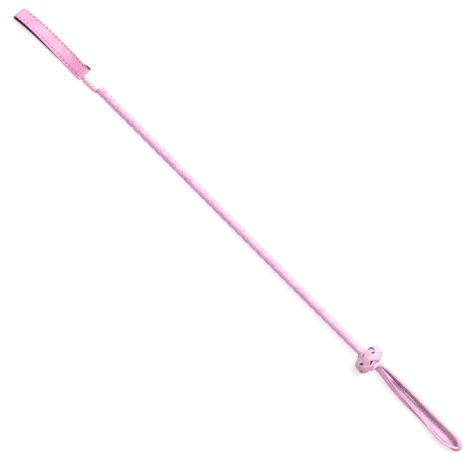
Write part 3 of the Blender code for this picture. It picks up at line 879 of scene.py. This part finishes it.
def strap_stations(per_span):
    """Places along the strap: its foot, its outward direction, its cross section and its thickness share."""
    plan = smooth_route([Vector((x, y, 0.0)) * MM for x, y, *_ in STRAP_STATIONS], per_span)
    form = smooth_route([Vector((low * MM, math.radians(lower), math.radians(upper)))
                         for _, _, low, lower, upper, _, _ in STRAP_STATIONS], per_span)
    size = smooth_route([Vector((wide, thick, 0.0)) for *_, wide, thick in STRAP_STATIONS], per_span)
    stations = []
    for point, forward, lie, share in zip(plan, tangents(plan), form, size):
        half_width = STRAP_WIDTH / 2 * share.x
        outward = forward.cross(UPWARDS).normalized()
        rise = lie.x + STRAP_PLY * math.sin(abs(lie.y))
        foot = Vector((loop_pin.x + point.x, loop_pin.y + point.y, rise))
        stations.append((foot, outward, section_curve(lie.y, lie.z, half_width), share.y))
    return stations


def cupped(station, place, out):
    """A point of the strap: place runs from -1 at its lower edge to 1, out is measured off its middle."""
    foot, outward, curve, thick = station
    reading = (place + 1) / 2 * (len(curve) - 1)
    index = min(int(reading), len(curve) - 2)
    share = reading - index
    along, above, lean = (first + (second - first) * share
                          for first, second in zip(curve[index], curve[index + 1]))
    normal = outward * math.cos(lean) - UPWARDS * math.sin(lean)
    return foot + outward * along + UPWARDS * above + normal * (out * thick)


def strap_band(name, facing, material, nodes):
    """One padded ply of the strap, full in the middle, its rims rounded beyond a sewn groove."""
    places = spread(33)
    rings = []
    for station in strap_stations(STRAP_STEPS_A_STATION):
        back = [cupped(station, place, 0.0) for place in places]
        front = []
        for place in places:
            full = STRAP_RIM + (1 - STRAP_RIM) * rounding(place, 0.2)
            dip = groove_at(abs(place), STRAP_INSET, STRAP_WIDTH / 2, STRAP_GROOVE)
            front.append(cupped(station, place, facing * (STRAP_PLY * full - dip)))
        rings.append(front + back[::-1])
    # painted highlight: the edge attribute turns the strap's rims one pale pink, where the rolled edge
    # catches the light
    edge = [abs(place) ** 10 for place in places]
    piece = skin(name, rings, edge + edge[::-1], material)
    bend_at_loop(piece)
    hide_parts(*nodes)


def strap_stitches():
    stations = [station for station in strap_stations(STRAP_STEPS_A_STATION)
                if station[0].x > loop_pin.x - 2.5 * MM]
    for name, side, node in (("strap_upper_stitches", 1, "wrist_thread_upper"),
                             ("strap_lower_stitches", -1, "wrist_thread_lower")):
        place = side * (1 - STRAP_INSET / (STRAP_WIDTH / 2))
        rows = []
        for facing in (1, -1):
            row = []
            for station in stations:
                point = cupped(station, place, facing * (STRAP_PLY - STRAP_STITCH_SINK))
                above = cupped(station, place, facing * (STRAP_PLY + MM))
                row.append((point, (above - point).normalized()))
            rows.append(row)
        piece = sewn_rows(name, rows, STRAP_PITCH, strap_stitch)
        bend_at_loop(piece)
        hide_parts(node)


strap_band("strap_face_leather", 1, strap_leather, ("wrist_strap_face", "strap_tail_left"))
strap_band("strap_lining_leather", -1, strap_lining_leather, ("wrist_strap_lining", "strap_tail_right"))
strap_stitches()

for shape in (tongue_stitch, strap_stitch, cross_stitch):
    bpy.data.objects.remove(shape)

# ---------------------------------------------------------------- hidden CAD parts keep their shape

for node, material in (("core_rod", fibreglass), ("core_wrap", paper_tape), ("butt_binding", knot_leather),
                       ("knot_former", knot_shade)):
    frame["nodes"][node].material_slots[0].material = material

# ---------------------------------------------------------------- floor, light and camera

FLOOR_REACH = 4.0
FLOOR_GREY = 0.42
FLOOR_GLOW = 0.64
WORLD_GLOW = 0.32
CAMERA_LENS = 142.2
CAMERA_HEIGHT = 2.0
CAMERA_LEFT, CAMERA_DOWN = 7.3 * MM, 2.05 * MM

floor_mesh = bpy.data.meshes.new("studio_floor")
floor_corners = [(x * FLOOR_REACH, y * FLOOR_REACH, 0.0) for x, y in ((-1, -1), (1, -1), (1, 1), (-1, 1))]
floor_mesh.from_pydata(floor_corners, [], [(0, 1, 2, 3)])
floor = bpy.data.objects.new("studio_floor", floor_mesh)
bpy.context.scene.collection.objects.link(floor)
floor_paper, _, floor_shader = new_material("studio_paper")
floor_shader.inputs["Base Color"].default_value = (FLOOR_GREY, FLOOR_GREY, FLOOR_GREY, 1.0)
floor_shader.inputs["Emission Color"].default_value = (1.0, 1.0, 1.0, 1.0)
floor_shader.inputs["Emission Strength"].default_value = FLOOR_GLOW
floor_shader.inputs["Roughness"].default_value = 0.9
floor_shader.inputs["Specular IOR Level"].default_value = 0.1
floor_mesh.materials.append(floor_paper)

VIEW_TURN = math.radians(45.1)
right = Vector((math.cos(VIEW_TURN), math.sin(VIEW_TURN), 0.0))
up = Vector((-math.sin(VIEW_TURN), math.cos(VIEW_TURN), 0.0))

world = bpy.data.worlds.new("studio_world")
bpy.context.scene.world = world
world.use_nodes = True
world.node_tree.nodes["Background"].inputs["Color"].default_value = (1.0, 1.0, 1.0, 1.0)
world.node_tree.nodes["Background"].inputs["Strength"].default_value = WORLD_GLOW


def soft_light(name, direction, distance, size, power):
    data = bpy.data.lights.new(name, "AREA")
    data.shape = "DISK"
    data.size = size
    data.energy = power
    lamp = bpy.data.objects.new(name, data)
    bpy.context.scene.collection.objects.link(lamp)
    lamp.location = direction.normalized() * distance
    lamp.rotation_euler = direction.to_track_quat("Z", "Y").to_euler()


soft_light("key_light", Vector((0.05, 0.42, 1.0)), 1.9, 1.1, 38.0)
soft_light("side_light", Vector((0.1, 1.0, 0.35)), 1.7, 0.7, 14.0)

camera_data = bpy.data.cameras.new("studio_camera")
camera_data.sensor_width = 36.0
camera_data.lens = CAMERA_LENS
camera_data.clip_start = 0.01
camera = bpy.data.objects.new("studio_camera", camera_data)
bpy.context.scene.collection.objects.link(camera)
camera.location = -right * CAMERA_LEFT - up * CAMERA_DOWN + UPWARDS * CAMERA_HEIGHT
camera.rotation_euler = (0.0, 0.0, VIEW_TURN)
bpy.context.scene.camera = camera
bpy.context.scene.view_settings.view_transform = "Standard"

bpy.context.view_layer.update()
